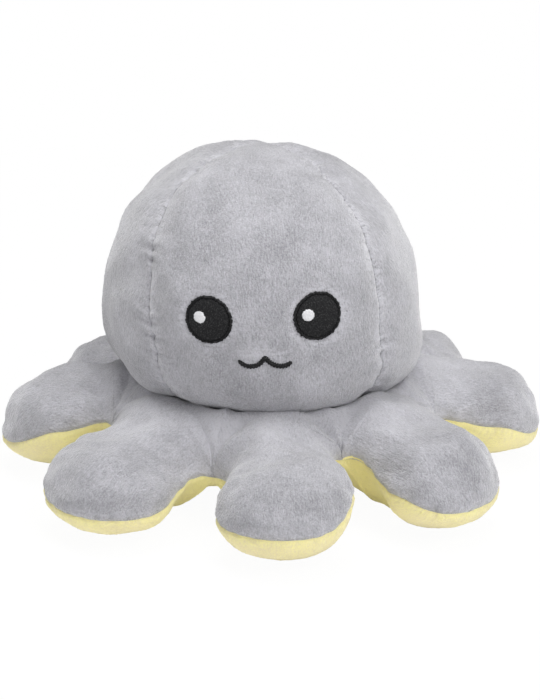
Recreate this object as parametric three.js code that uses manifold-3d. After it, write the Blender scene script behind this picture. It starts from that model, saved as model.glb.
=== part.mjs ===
// Reversible plush octopus: a stuffed velour head on a skirt of stuffed arms.
// The grey side is turned out. A second, yellow head hangs inside it, turned in as a pocket.
// Millimetres, +Z up. The face looks along -Y. The origin is on the floor below the middle.

import * as THREE from 'three';
import { mergeVertices } from 'three/addons/utils/BufferGeometryUtils.js';
import Module from 'manifold-3d';

const wasm = await Module();
wasm.setup();

// Cloth and clearances
const cloth = 1.6; // velour with its pile
const gap = 0.3; // between two pieces that touch
const seatGap = 0.6; // between the head's underside and the skirt it rests on
const flexGap = 0.8; // round the root of an arm, where the real cloth bends
const thread = 0.8; // height of the embroidery

// Head
const headRadius = 56.7;
const headWaist = 59.2; // height of the widest ring
const crownRise = 59.1; // waist to crown
const baseDrop = 30; // waist to the lowest point of the underside, if it went on to the axis
const crownFullness = 2.2; // 2 is an ellipse, more is squarer
const baseFullness = 3;
const neckRadius = 33;
const crownHole = 1.2; // where the four gores meet
const headLean = -5.5; // the crown sits this far to the side
const goreCount = 4;
const goreTurn = 1.25; // degrees, of the front gore

// Lining, which is the inner head turned in
const liningRadius = 34.5;
const liningWaist = 52;
const liningRise = 36;
const liningFullness = 2;
const throatRadius = 30.3;
const throatHeight = 30;

// Face
const eyeSpan = 35.6; // between the two centres
const eyeHeight = 72.7;
const eyeRise = 1.2; // the left eye in the picture is this much lower
const eyeRadius = 8;
const glintRadius = 2.4;
const glintShift = [-3, 0.6];
const mouthHalfWidth = 8.7;
const mouthPeak = 61;
const mouthEnd = 59;
const mouthSag = 3;
const lineWidth = 1.5;
const innerEyeSpan = 22;
const innerEyeHeight = 62;
const innerEyeRadius = 5;
const frownHalfWidth = 5.5;
const frownPeak = 54.5;
const frownEnd = 51.5;

// Neck
const stitchWidth = 3;
const stitchHeight = 1.2;

// Skirt between the neck and the arms
const webRadius = 62; // where two neighbouring arms part
const seamHeight = 19.5; // of the join between the grey and the yellow cloth, at a web
const shoulderRadius = 49;
const shoulderHeight = 36.6;
const shoulderFullness = 3;
const seatRadius = 45.5; // the head rests on the skirt inside this
const webSink = 5; // the cloth dips this far between two arms
const footRadius = 53;
const footInnerRadius = 44;
const footFullness = 2.6;

// Arms
const armCount = 8;
const armTurn = 3; // degrees, of the front arm
const reach = 100; // middle to tip
const lobeRadius = 23.7;
const armHeight = 33.5;
const tipSeamHeight = 13;
const hingeRadius = 58; // middle to the line about which an arm bends
const hingeHeight = 17;
const rootRadius = 16;
const rootClearance = 1.2; // from a root to the plane between two arms
const flatDepth = 0.5; // cut off the rounded underside where an arm stands
const armLift = 40; // degrees up from rest
const armDroop = 20; // degrees down
const lobeOffset = reach - lobeRadius - hingeRadius;
const rootHalfWidth = hingeRadius * Math.sin(Math.PI / armCount) - rootClearance;

const grey = 0xa3a5ab;
const yellow = 0xf3e77d;
const black = 0x17171a;
const white = 0xf4f4f4;
const fibre = 0xf1efe9;

const { degToRad, radToDeg, lerp } = THREE.MathUtils;
const rightAngle = 90;
const fullTurn = 360;

// Lines

// Part of a superellipse in the (r, z) plane, with the outward normal at each point
function superArc({ centre, radii, fullness, from, to, steps, crowd = 1 }) {
  const power = (value, exponent) => Math.sign(value) * Math.abs(value) ** exponent;
  return Array.from({ length: steps + 1 }, (_, i) => {
    const angle = degToRad(lerp(from, to, (i / steps) ** crowd));
    const x = power(Math.cos(angle), 2 / fullness);
    const y = power(Math.sin(angle), 2 / fullness);
    const normal = new THREE.Vector2(
      power(x, fullness - 1) / radii[0],
      power(y, fullness - 1) / radii[1],
    ).normalize();
    const point = new THREE.Vector2(centre[0] + radii[0] * x, centre[1] + radii[1] * y);
    return { point, normal };
  });
}

// The same line moved out along its normals, or in where the distance is negative
function moved(line, distance) {
  return line.map(({ point, normal }) => point.clone().addScaledVector(normal, distance));
}

// Angle at which a superellipse has shrunk to a given radius
function angleAtRadius(radius, full, fullness) {
  return radToDeg(Math.acos((radius / full) ** (fullness / 2)));
}

// Height left on a superellipse at a given radius, as a share of its full height
function heightShare(radius, full, fullness) {
  return (1 - (radius / full) ** fullness) ** (1 / fullness);
}

const crownHeight = headWaist + crownRise;
const neckHeight = headWaist - baseDrop * heightShare(neckRadius, headRadius, baseFullness);
const liningDrop =
  (liningWaist - throatHeight) / heightShare(throatRadius, liningRadius, liningFullness);

function leanAt(height) {
  return (headLean * Math.max(0, height - neckHeight)) / (crownHeight - neckHeight);
}

// Radius of the head's outside, and of the lining's pocket side, at a height
function headRadiusAt(height) {
  const above = height > headWaist;
  const share = Math.abs(height - headWaist) / (above ? crownRise : baseDrop);
  return headRadius * heightShare(share, 1, above ? crownFullness : baseFullness);
}

function pocketRadiusAt(height) {
  const share = Math.abs(height - liningWaist) / (height > liningWaist ? liningRise : liningDrop);
  return liningRadius * heightShare(share, 1, liningFullness) - cloth;
}

// Head profile from a radius on its underside up to a small radius at the crown
function headLine(lowRadius, topRadius, lowSteps, topSteps) {
  const under = superArc({
    centre: [0, headWaist],
    radii: [headRadius, baseDrop],
    fullness: baseFullness,
    from: 0,
    to: -angleAtRadius(lowRadius, headRadius, baseFullness),
    steps: lowSteps,
    crowd: 1.5,
  });
  const over = superArc({
    centre: [0, headWaist],
    radii: [headRadius, crownRise],
    fullness: crownFullness,
    from: 0,
    to: angleAtRadius(topRadius, headRadius, crownFullness),
    steps: topSteps,
  });
  return [...under.reverse(), ...over.slice(1)];
}

const liningSteps = 4;

// Lining profile from the throat, or from a height above it, to the crown
function liningLine(lowHeight, topRadius) {
  return superArc({
    centre: [0, liningWaist],
    radii: [liningRadius, liningDrop],
    fullness: liningFullness,
    from: -radToDeg(Math.asin((liningWaist - lowHeight) / liningDrop)),
    to: 0,
    steps: 2,
  }).concat(
    superArc({
      centre: [0, liningWaist],
      radii: [liningRadius, liningRise],
      fullness: liningFullness,
      from: 0,
      to: angleAtRadius(topRadius, liningRadius, liningFullness),
      steps: liningSteps,
    }).slice(1),
  );
}

// Closed meshes

// Two triangles for each cell of a grid of points. A grid that goes around closes its rows.
function sheet(rows, around, flip = false) {
  const corners = [];
  for (let i = 0; i + 1 < rows.length; i++) {
    const count = rows[i].length;
    for (let j = 0; j < (around ? count : count - 1); j++) {
      const next = (j + 1) % count;
      const [a, b, c, d] = [rows[i][j], rows[i][next], rows[i + 1][next], rows[i + 1][j]];
      corners.push(...(flip ? [a, c, b, a, d, c] : [a, b, c, a, c, d]));
    }
  }
  return corners;
}

// One closed geometry from loose triangles, facing outwards, with no empty triangle
function closed(corners) {
  const loose = new THREE.BufferGeometry().setFromPoints(corners);
  const merged = mergeVertices(loose);
  const index = merged.index.array;
  const spots = merged.attributes.position;
  const [a, b, c] = [new THREE.Vector3(), new THREE.Vector3(), new THREE.Vector3()];
  const kept = [];
  let volume = 0;
  for (let i = 0; i < index.length; i += 3) {
    const [p, q, r] = index.slice(i, i + 3);
    if (p === q || q === r || r === p) continue;
    kept.push([p, q, r]);
    a.fromBufferAttribute(spots, p);
    b.fromBufferAttribute(spots, q);
    c.fromBufferAttribute(spots, r);
    volume += a.dot(b.cross(c));
  }
  merged.setIndex(kept.flatMap(([p, q, r]) => (volume < 0 ? [p, r, q] : [p, q, r])));
  return merged;
}

// A wall between an outer and an inner grid. Its first rows are joined by a rim, its last rows
// too unless they close on themselves at an apex, and its sides unless it goes around.
function wall(outer, inner, { around = false, apex = false } = {}) {
  const corners = [
    ...sheet(outer, around),
    ...sheet(inner, around, true),
    ...sheet([inner[0], outer[0]], around),
  ];
  if (!apex) corners.push(...sheet([outer.at(-1), inner.at(-1)], around));
  if (!around) {
    corners.push(...sheet([outer.map((row) => row[0]), inner.map((row) => row[0])], false));
    corners.push(...sheet([inner.map((row) => row.at(-1)), outer.map((row) => row.at(-1))], false));
  }
  return closed(corners);
}

// A point at a radius and height, turned from the front towards +X
function spun({ x: radius, y: height }, turn, lean = 0) {
  const angle = degToRad(turn);
  return new THREE.Vector3(
    radius * Math.sin(angle) + lean,
    -radius * Math.cos(angle),
    height,
  );
}

// A full ring of points for each point of a line
function rings(points, count, leaning, turn = 0) {
  return points.map((point) =>
    Array.from({ length: count }, (_, j) =>
      spun(point, turn + (fullTurn * j) / count, leaning ? leanAt(point.y) : 0),
    ),
  );
}

const goreColumns = 5; // facets across one gore
const firstSeam = goreTurn - fullTurn / goreCount / 2;

// The stretch of each ring that one gore covers, less half a gap at each side seam
function goreRows(points, number) {
  const span = fullTurn / goreCount;
  return points.map((point) => {
    const seam = radToDeg(Math.asin(Math.min(1, gap / 2 / point.x)));
    const start = firstSeam + number * span + seam;
    return Array.from({ length: goreColumns + 1 }, (_, j) =>
      spun(point, start + ((span - 2 * seam) * j) / goreColumns, leanAt(point.y)),
    );
  });
}

// Solid with the library's own numbers, and back
function toSolid(geometry) {
  return new wasm.Manifold(
    new wasm.Mesh({
      numProp: 3,
      vertProperties: new Float32Array(geometry.attributes.position.array),
      triVerts: new Uint32Array(geometry.index.array),
    }),
  );
}

function toGeometry(solid) {
  const mesh = solid.getMesh();
  const geometry = new THREE.BufferGeometry();
  geometry.setAttribute('position', new THREE.BufferAttribute(mesh.vertProperties, mesh.numProp));
  geometry.setIndex(new THREE.BufferAttribute(mesh.triVerts, 1));
  return geometry;
}

function piece(name, geometry, colour, roughness = 1) {
  geometry.computeVertexNormals();
  const material = new THREE.MeshStandardMaterial({ color: colour, roughness, metalness: 0 });
  const mesh = new THREE.Mesh(geometry, material);
  mesh.name = name;
  return mesh;
}

// Head: four grey gores, the fibre inside them, and four yellow gores round the pocket

const goreNames = ['front', 'right', 'back', 'left'];
const clothAndGap = cloth + gap;

function headPanels() {
  const line = headLine(neckRadius, crownHole, 5, 6);
  return goreNames.map((name, number) =>
    piece(
      'head_panel_' + name,
      wall(goreRows(moved(line, 0), number), goreRows(moved(line, -cloth), number)),
      grey,
    ),
  );
}

function liningPanels() {
  const line = liningLine(throatHeight, crownHole);
  return goreNames.map((name, number) =>
    piece(
      'inner_head_panel_' + name,
      wall(goreRows(moved(line, 0), number), goreRows(moved(line, -cloth), number)),
      yellow,
    ),
  );
}

function headFilling() {
  const outside = moved(headLine(neckRadius, 0, 5, 6), -clothAndGap);
  const pocket = moved(liningLine(outside[0].y, 0), gap);
  const walls = [outside, pocket].map((line) =>
    rings(line, goreCount * goreColumns, true, firstSeam),
  );
  return piece('head_filling', wall(...walls, { around: true, apex: true }), fibre);
}

// Faces: satin stitch that lies on the cloth

// A point of the face, seen from the front, at a height above the cloth
function outerFacePoint(x, height, proud) {
  const radius = headRadiusAt(height) + proud;
  return new THREE.Vector3(x + leanAt(height), -Math.sqrt(radius ** 2 - x ** 2), height);
}

// The lining's flat facets stand this far inside its round
const facetSag =
  liningRise * (1 - Math.cos(Math.PI / 4 / liningSteps)) +
  liningRadius * (1 - Math.cos(Math.PI / goreCount / goreColumns));

function innerFacePoint(x, height, proud) {
  const radius = pocketRadiusAt(height) - facetSag - proud;
  return new THREE.Vector3(x + leanAt(height), -Math.sqrt(radius ** 2 - x ** 2), height);
}

// A disc, or a disc with a round hole anywhere in it, worked on the cloth
function stitchedDisc(facePoint, outerCircle, innerCircle, sides) {
  const steps = 2;
  const grid = (proud) =>
    Array.from({ length: steps + 1 }, (_, i) =>
      Array.from({ length: sides }, (_, j) => {
        const angle = (2 * Math.PI * j) / sides;
        const [x, y, radius] = outerCircle.map((v, k) => lerp(v, innerCircle[k], i / steps));
        return facePoint(x + radius * Math.cos(angle), y + radius * Math.sin(angle), proud);
      }),
    );
  const apex = innerCircle[2] === 0;
  return wall(grid(gap + thread), grid(gap), { around: true, apex });
}

// A line of stitches whose height is a function of its share from -1 to 1
function stitchedLine(facePoint, halfWidth, heightAt, steps) {
  const grid = (proud) =>
    Array.from({ length: steps + 1 }, (_, i) => {
      const share = -1 + (2 * i) / steps;
      const height = heightAt(Math.abs(share));
      return [-lineWidth / 2, lineWidth / 2].map((side) =>
        facePoint(share * halfWidth, height + side, proud),
      );
    });
  return wall(grid(gap + thread), grid(gap));
}

function eye(side, name) {
  const centre = [(side * eyeSpan) / 2, eyeHeight + (side * eyeRise) / 2];
  const glint = centre.map((v, k) => v + glintShift[k]);
  const ball = [...centre, eyeRadius];
  const hole = [...glint, glintRadius + gap];
  return [
    piece('eye_' + name, stitchedDisc(outerFacePoint, ball, hole, 18), black),
    piece(
      'eye_highlight_' + name,
      stitchedDisc(outerFacePoint, [...glint, glintRadius], [...glint, 0], 10),
      white,
    ),
  ];
}

function innerEye(side, name) {
  const centre = [(side * innerEyeSpan) / 2, innerEyeHeight];
  const disc = stitchedDisc(innerFacePoint, [...centre, innerEyeRadius], [...centre, 0], 12);
  return piece('inner_eye_' + name, disc, black);
}

function mouths() {
  const smile = (share) =>
    lerp(mouthPeak, mouthEnd, share) - mouthSag * Math.sin(Math.PI * share);
  const frown = (share) => lerp(frownPeak, frownEnd, share ** 2);
  return [
    piece('mouth', stitchedLine(outerFacePoint, mouthHalfWidth, smile, 12), black),
    piece('inner_mouth', stitchedLine(innerFacePoint, frownHalfWidth, frown, 6), black),
  ];
}

// Neck: the ring of thread that holds the two heads and the skirt together

const stitchInnerRadius = throatRadius + gap;
const skirtNeckRadius = stitchInnerRadius + stitchWidth + gap;

function neckStitching() {
  const section = superArc({
    centre: [stitchInnerRadius + stitchWidth / 2, neckHeight - gap - stitchHeight / 2],
    radii: [stitchWidth / 2, stitchHeight / 2],
    fullness: 2,
    from: 0,
    to: fullTurn,
    steps: 6,
  });
  const rows = rings(moved(section, 0), goreCount * goreColumns, false, firstSeam);
  rows[rows.length - 1] = rows[0];
  return piece('neck_stitching', closed(sheet(rows, true)), grey);
}

// Skirt: grey cloth above, yellow cloth below, fibre between, with a socket for each arm

const facetsPerArm = 4;

// The grey cloth, from the neck out under the head, over the shoulder and down to the seam
function skirtTopLine() {
  const seat = headLine(skirtNeckRadius, seatRadius, 3, 1)
    .filter(({ point }) => point.y < headWaist && point.x < seatRadius)
    .map(({ point, normal }) => ({
      point: point.clone().addScaledVector(normal, seatGap),
      normal: normal.clone().negate(),
    }));
  const edge = seamHeight + gap / 2;
  const shoulder = superArc({
    centre: [shoulderRadius, edge],
    radii: [webRadius - shoulderRadius, shoulderHeight - edge],
    fullness: shoulderFullness,
    from: rightAngle,
    to: 0,
    steps: 4,
  });
  return [...seat, ...shoulder];
}

// The yellow cloth, from the throat down to the floor and out up to the same seam
function skirtBottomLine() {
  const insideRadius = throatRadius - cloth;
  const throatTop = throatHeight - gap;
  const flare = superArc({
    centre: [footInnerRadius, throatTop],
    radii: [footInnerRadius - insideRadius, throatTop],
    fullness: 2,
    from: -2 * rightAngle,
    to: -rightAngle,
    steps: 4,
    crowd: 1.3,
  });
  const edge = seamHeight - gap / 2;
  const outside = superArc({
    centre: [footRadius, edge],
    radii: [webRadius - footRadius, edge],
    fullness: footFullness,
    from: -rightAngle,
    to: 0,
    steps: 3,
  });
  return [...flare, ...outside];
}

// Rings that dip between the arms, the more the further out and up they are
function scalloped(points) {
  return rings(points, facetsPerArm * armCount, false, armTurn).map((row, i) =>
    row.map((spot, j) => {
      const between = (1 - Math.cos((2 * Math.PI * j) / facetsPerArm)) / 2;
      const out = THREE.MathUtils.smoothstep(points[i].x, seatRadius, webRadius);
      const up = Math.max(0, points[i].y - seamHeight) / (shoulderHeight - seamHeight);
      return spot.clone().setZ(spot.z - webSink * between * Math.sqrt(out) * up);
    }),
  );
}

// One of three.js's own closed shapes as a solid
function shapeSolid(geometry) {
  const spots = geometry.toNonIndexed().attributes.position;
  const corners = Array.from({ length: spots.count }, (_, i) =>
    new THREE.Vector3().fromBufferAttribute(spots, i),
  );
  return toSolid(closed(corners));
}

const socketSides = 16;

// Room for the root of every arm, through its whole swing, and beside it only what it needs
function armSockets(room) {
  const socketRadius = rootRadius + room;
  const socketHalfWidth = rootHalfWidth + flexGap;
  const ball = new THREE.SphereGeometry(1, socketSides, socketSides / 2);
  ball.scale(socketRadius, socketHalfWidth, socketRadius);
  const lobeRise = armHeight - hingeHeight + room;
  const neck = new THREE.CylinderGeometry(lobeRise / socketRadius, 1, lobeOffset, socketSides);
  neck.translate(0, lobeOffset / 2, 0).rotateZ(-Math.PI / 2);
  neck.scale(1, socketHalfWidth, socketRadius);
  const swing = [-armDroop, 0, armLift].map((angle) => neck.clone().rotateY(degToRad(-angle)));
  const socket = wasm.Manifold.union([ball, ...swing].map(shapeSolid));
  return wasm.Manifold.union(
    Array.from({ length: armCount }, (_, n) => socket.transform(atArm(n).elements)),
  );
}

function atArm(number) {
  return new THREE.Matrix4()
    .makeRotationZ(degToRad(armTurn + (fullTurn * number) / armCount - rightAngle))
    .multiply(new THREE.Matrix4().makeTranslation(hingeRadius, 0, hingeHeight));
}

function skirtPieces() {
  const sockets = armSockets(flexGap);
  const roomierSockets = armSockets(flexGap + cloth);
  const top = skirtTopLine();
  const bottom = skirtBottomLine();
  const ring = (above, below) => toSolid(wall(scalloped(above), scalloped(below), { around: true }));
  const greyRing = ring(moved(top, 0), moved(top, -cloth));
  const yellowRing = ring(moved(bottom, 0), moved(bottom, -cloth));
  const fibreRing = ring(moved(top, -clothAndGap), moved(bottom.slice(1), -clothAndGap));
  return [
    piece('skirt_top_centre', toGeometry(greyRing.subtract(sockets)), grey),
    piece('skirt_bottom_centre', toGeometry(yellowRing.subtract(sockets)), yellow),
    piece('skirt_filling', toGeometry(fibreRing.subtract(roomierSockets)), fibre),
  ];
}

// Arms: a grey and a yellow cover round a fibre core, each on its own hinge line

const tipFacets = 8;
const rootFacets = 6;

// Half of the outline from above, with its share of the way from the hinge line to the lobe
function outlineHalf(share, facets, startAngle) {
  return Array.from({ length: facets + 1 }, (_, i) => ({
    share,
    angle: startAngle + (Math.PI * i) / facets,
  }));
}

// Half a circle round the tip, then half an ellipse round the hinge line
const armOutline = [
  ...outlineHalf(1, tipFacets, -Math.PI / 2),
  ...outlineHalf(0, rootFacets, Math.PI / 2),
];

// A point on an arm. The lift is an angle, from none at the side seam to a right angle over
// the middle line.
function armPoint({ share, angle }, lift, side, inset, seamGap) {
  const along = lerp(rootRadius, lobeRadius, share) - inset;
  const across = lerp(rootHalfWidth, lobeRadius, share) - inset;
  const middle = lerp(0, tipSeamHeight - hingeHeight, share);
  const above = lerp(rootRadius, armHeight - tipSeamHeight, share) - inset;
  const below = lerp(rootRadius, tipSeamHeight + flatDepth, share) - inset;
  const bulge = side > 0 ? above : below;
  const height = middle + side * lerp(seamGap / 2, bulge, Math.sin(lift));
  return new THREE.Vector3(
    share * lobeOffset + along * Math.cos(angle) * Math.cos(lift),
    across * Math.sin(angle) * Math.cos(lift),
    Math.max(height, inset - hingeHeight),
  );
}

// The underside turns flat at this angle, so one ring of points lies there
const flatLift = Math.asin(tipSeamHeight / (tipSeamHeight + flatDepth));

function armRows(side, inset, seamGap, steps) {
  const last = side > 0 ? Math.PI / 2 : flatLift;
  const lifts = Array.from({ length: steps + 1 }, (_, i) => (last * i) / steps);
  if (side < 0) lifts.push(Math.PI / 2);
  return lifts.map((lift) =>
    armOutline.map((spot) => armPoint(spot, lift, side, inset, seamGap)),
  );
}

function arm(number) {
  const name = 'arm_' + (number + 1);
  const cover = (side) =>
    wall(armRows(side, 0, gap, side > 0 ? 4 : 3), armRows(side, cloth, gap, 3), {
      around: true,
      apex: true,
    });
  const core = wall(armRows(1, clothAndGap, 0, 3), armRows(-1, clothAndGap, 0, 3), {
    around: true,
    apex: true,
  });
  const group = new THREE.Group();
  group.add(
    piece(name + '_top', cover(1), grey),
    piece(name + '_bottom', cover(-1), yellow),
    piece(name + '_filling', core, fibre),
  );
  group.applyMatrix4(atArm(number));
  return group;
}

const octopus = new THREE.Group();
const head = new THREE.Group();
head.add(...headPanels(), ...liningPanels(), headFilling());
head.add(...eye(-1, 'left'), ...eye(1, 'right'), innerEye(-1, 'left'), innerEye(1, 'right'));
head.add(...mouths(), neckStitching());
octopus.add(head, ...skirtPieces());
for (let number = 0; number < armCount; number++) {
  octopus.add(arm(number));
}

export default octopus;
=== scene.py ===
import math

import bpy
import numpy as np
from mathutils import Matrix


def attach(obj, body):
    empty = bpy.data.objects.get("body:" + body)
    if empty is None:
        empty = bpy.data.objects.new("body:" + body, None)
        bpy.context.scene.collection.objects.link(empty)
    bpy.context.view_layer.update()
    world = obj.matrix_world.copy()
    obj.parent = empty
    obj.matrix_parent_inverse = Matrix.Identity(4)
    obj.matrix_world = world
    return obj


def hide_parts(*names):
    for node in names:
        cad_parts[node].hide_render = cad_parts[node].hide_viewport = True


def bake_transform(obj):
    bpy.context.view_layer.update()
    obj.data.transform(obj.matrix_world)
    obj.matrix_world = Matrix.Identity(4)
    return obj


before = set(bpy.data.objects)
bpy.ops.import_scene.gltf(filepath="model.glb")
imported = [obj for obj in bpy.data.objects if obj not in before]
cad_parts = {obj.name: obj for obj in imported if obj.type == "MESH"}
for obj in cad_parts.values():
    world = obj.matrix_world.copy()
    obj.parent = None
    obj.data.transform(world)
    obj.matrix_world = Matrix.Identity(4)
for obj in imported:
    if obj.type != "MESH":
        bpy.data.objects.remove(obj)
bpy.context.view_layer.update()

# The studio: a white table lit from within, a white room under plain soft light, and a long lens that looks
# down a little. The table is white to the camera and a pale colour to the light, and keeps a soft shadow.
MM = 0.001  # metres
FLOOR_SIZE = 6.0  # metres
FLOOR_DROP = 0.3  # mm, so that the floor isn't in the cloth
FLOOR_COLOUR = (0.9, 0.9, 0.91, 1)
FLOOR_GLOW = 0.95  # share of it that is plain white to the camera, under the toy
FLOOR_CLEAR = 0.5  # metres from the toy, where all of it is
TABLE_LIGHT = 0.1  # how bright it shines on the toy from below
PLAIN_WHITE = (1, 1, 1, 1)
ROOM_LIGHT = 0.22
LENS = 94.25  # mm, on a 36 mm sensor along the long side
NEAREST = 0.01  # metres from the camera, where it starts to see
EYE_POINT = (0.0, -0.6253, 0.2671)  # metres
AIM_POINT = (-0.0005, 0.0008, 0.0422)
LAMPS = {  # square soft lights: watts, and place in metres
    "key_light": (11.0, (0.66, -0.7, 1.15)),
    "top_light": (15.0, (-0.03, 0.1, 1.5)),
    "low_light": (1.4, (-1.1, -0.6, 0.25)),
}
LAMP_SIZE = 0.8  # metres
LAMP_AIM = (0, 0, 0.05)
materials = {}  # by name, which is the name of their slot too


class Value:
    """A number in a material's nodes. Arithmetic on it adds Math nodes."""

    def __init__(self, tree, socket):
        self.tree = tree
        self.socket = socket

    def maths(self, operation, *values, clamp=False):
        settings = {"operation": operation, "use_clamp": clamp}
        made = add_node(self.tree, "ShaderNodeMath", settings, dict(enumerate(values)))
        return Value(self.tree, made.outputs[0])

    def __add__(self, other):
        return self.maths("ADD", self, other)

    def __sub__(self, other):
        return self.maths("SUBTRACT", self, other)

    def __rsub__(self, other):
        return self.maths("SUBTRACT", other, self)

    def __mul__(self, other):
        return self.maths("MULTIPLY", self, other)

    __radd__ = __add__
    __rmul__ = __mul__

    def clamped(self):
        return self.maths("ADD", self, 0, clamp=True)


def add_node(tree, kind, settings=None, values=None):
    """A node of a kind, with its settings, then its sockets' values or links, by name or number."""
    node = tree.nodes.new(kind)
    for name, setting in (settings or {}).items():
        setattr(node, name, setting)
    for name, value in (values or {}).items():
        socket = node.inputs[name]
        if isinstance(value, Value):
            value = value.socket
        if isinstance(value, bpy.types.NodeSocket):
            tree.links.new(value, socket)
        else:
            socket.default_value = value
    return node


def new_material(name):
    """Adds an empty material, and gives its nodes and its output node."""
    material = bpy.data.materials.new(name)
    material.use_nodes = True
    material.node_tree.nodes.clear()
    materials[name] = material
    return material.node_tree, material.node_tree.nodes.new("ShaderNodeOutputMaterial")


def seen_directly(tree):
    """1 for a ray that the camera, a reflection or clear glass sees, and 0 for light on its way."""
    path = add_node(tree, "ShaderNodeLightPath")
    direct = Value(tree, path.outputs["Is Camera Ray"]) + path.outputs["Is Glossy Ray"]
    return (direct + path.outputs["Is Transmission Ray"]).clamped()


def new_object(name, data):
    """An object of a mesh, light or camera, in the scene."""
    made = bpy.data.objects.new(name, data)
    bpy.context.scene.collection.objects.link(made)
    return made


def turn_towards(holder, place, target):
    """Puts a light or camera at a place, in metres, so that it looks at a target."""
    holder.location = place
    look = np.array(target) - np.array(place)
    pitch = math.atan2(math.hypot(look[0], look[1]), -look[2])
    holder.rotation_euler = (pitch, 0, math.atan2(-look[0], look[1]))


world = bpy.data.worlds.new("white_room")
bpy.context.scene.world = world
world.use_nodes = True
tree = world.node_tree
tree.nodes.clear()
strength = ROOM_LIGHT + seen_directly(tree) * (1 - ROOM_LIGHT)
sky = add_node(tree, "ShaderNodeBackground", None, {"Color": PLAIN_WHITE, "Strength": strength})
output = add_node(tree, "ShaderNodeOutputWorld")
tree.links.new(sky.outputs[0], output.inputs["Surface"])

half = FLOOR_SIZE / 2
corners = [(-half, -half), (half, -half), (half, half), (-half, half)]
mesh = bpy.data.meshes.new("floor")
mesh.from_pydata([(x, y, -FLOOR_DROP * MM) for x, y in corners], [], [(0, 1, 2, 3)])
floor = new_object("floor", mesh)
tree, output = new_material("white_floor")
matt = add_node(tree, "ShaderNodeBsdfDiffuse", None, {"Color": FLOOR_COLOUR})
glow = add_node(tree, "ShaderNodeEmission", None, {"Color": PLAIN_WHITE, "Strength": 1.0})
shine = add_node(tree, "ShaderNodeEmission", None, {"Color": PLAIN_WHITE, "Strength": TABLE_LIGHT})
lit = add_node(tree, "ShaderNodeAddShader", None, {0: matt.outputs[0], 1: shine.outputs[0]})
place = add_node(tree, "ShaderNodeTexCoord")
length = add_node(tree, "ShaderNodeVectorMath", {"operation": "LENGTH"}, {0: place.outputs["Object"]})
away = Value(tree, length.outputs["Value"])
share = seen_directly(tree) * (FLOOR_GLOW + away * ((1 - FLOOR_GLOW) / FLOOR_CLEAR)).clamped()
both = add_node(tree, "ShaderNodeMixShader", None, {0: share, 1: lit.outputs[0], 2: glow.outputs[0]})
tree.links.new(both.outputs[0], output.inputs["Surface"])
mesh.materials.append(materials["white_floor"])

for name, (power, place) in LAMPS.items():
    light = bpy.data.lights.new(name, "AREA")
    light.energy = power
    light.size = LAMP_SIZE
    turn_towards(new_object(name, light), place, LAMP_AIM)
camera = new_object("camera", bpy.data.cameras.new("camera"))
camera.data.lens = LENS
camera.data.clip_start = NEAREST
turn_towards(camera, EYE_POINT, AIM_POINT)
bpy.context.scene.camera = camera
bpy.context.scene.view_settings.view_transform = "Standard"

# The head's outside: four gores of short grey velour, sewn edge to edge and stuffed hard with fibre.
# All four seams run up to one dimple behind the top, where the closing stitches pull them together.
HEAD_RADIUS = 56.7  # mm, at the waist
WAIST_HEIGHT = 59.2
CROWN_RISE = 59.1  # waist to crown
BASE_DROP = 30.0  # waist to the underside, if it went on to the axis
CROWN_FULLNESS = 2.2  # 2 is an ellipse, more is squarer
BASE_FULLNESS = 3.0
NECK_RADIUS = 33.0
HEAD_LEAN = -5.5  # the crown stands this far to the side of the neck
CROWN_TILTS = (12.0, 1.5)  # degrees from the top to the dimple, back and aside
# Of each seam: degrees from the front, and how far it bends on the way up, at first and near the dimple.
SEAMS = {
    "front_left": (-42.0, -28.0, 30.0),
    "front_right": (44.0, 8.0, -6.0),
    "back_right": (137.0, 4.0, 0.0),
    "back_left": (223.0, 6.0, 0.0),
}
GORES = {
    "front": ("front_left", "front_right"),
    "right": ("front_right", "back_right"),
    "back": ("back_right", "back_left"),
    "left": ("back_left", "front_left"),
}
SEAM_VALLEY = (5.0, 1.2)  # width and depth, mm
STITCH_LINE = (0.7, 0.5)  # the sharp line in it
PUCKERS = (7.0, 0.3)  # how far the ripples across a seam reach, and their height
PUCKER_LENGTH = 4.0
PUCKER_SLANT = 0.35  # how fast a ripple changes away from the seam, as a share of along it
PUCKER_LIMIT = 1.3  # the highest ripple, in heights
PUCKER_STRENGTH = (0.7, 0.5, 24.0, 1.6)  # mean, change, length of a change in mm, and most
PUCKER_SEED = 5
PUFF = 0.7  # how far the middle of a gore stands out
SEAM_ALLOWANCE = 1.4  # turned in at a gore's edges
POLE_CALM = (1.0, 14.0)  # mm from the dimple, where a seam's forms set in
DIMPLE = (5.0, 1.4)
LUMPS = [(0.5, 46.0), (0.24, 17.0)]  # height and length of the fibre's lumps, mm
LUMP_SEED = 11
HEAD_DENTS = [  # degrees from the front, height, width and depth in mm; bulges are below 0
    (-38.5, 79.0, 5.0, 1.1),
    (-56.0, 80.5, 8.0, 1.6),
    (-78.0, 67.0, 9.0, 1.0),
    (-98.0, 109.0, 13.0, 3.5),
    (-106.0, 107.0, 6.0, 0.8),
    (-117.0, 114.0, 6.0, -0.9),
    (-90.0, 80.0, 12.0, 1.0),
    (-92.0, 50.0, 12.0, -1.2),
    (50.0, 95.0, 7.0, -0.7),
    (52.0, 68.0, 7.0, 0.8),
    (38.0, 98.0, 8.0, 0.6),
    (20.0, 108.0, 8.0, 0.5),
    (98.0, 100.0, 20.0, 0.9),
    (93.0, 58.0, 16.0, 3.9),
    (-15.0, 46.0, 12.0, 0.5),
    (70.0, 88.0, 9.0, 0.7),
    (150.0, 80.0, 11.0, 1.1),
    (205.0, 66.0, 12.0, 1.2),
]
EYES = {  # across, height and half sizes in mm, seen from the front
    "left": (-20.6, 72.1, 7.75, 7.9),
    "right": (15.1, 73.3, 7.85, 7.95),
}
LIP = (-2.1, 61.5)  # above the peak of the mouth
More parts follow.
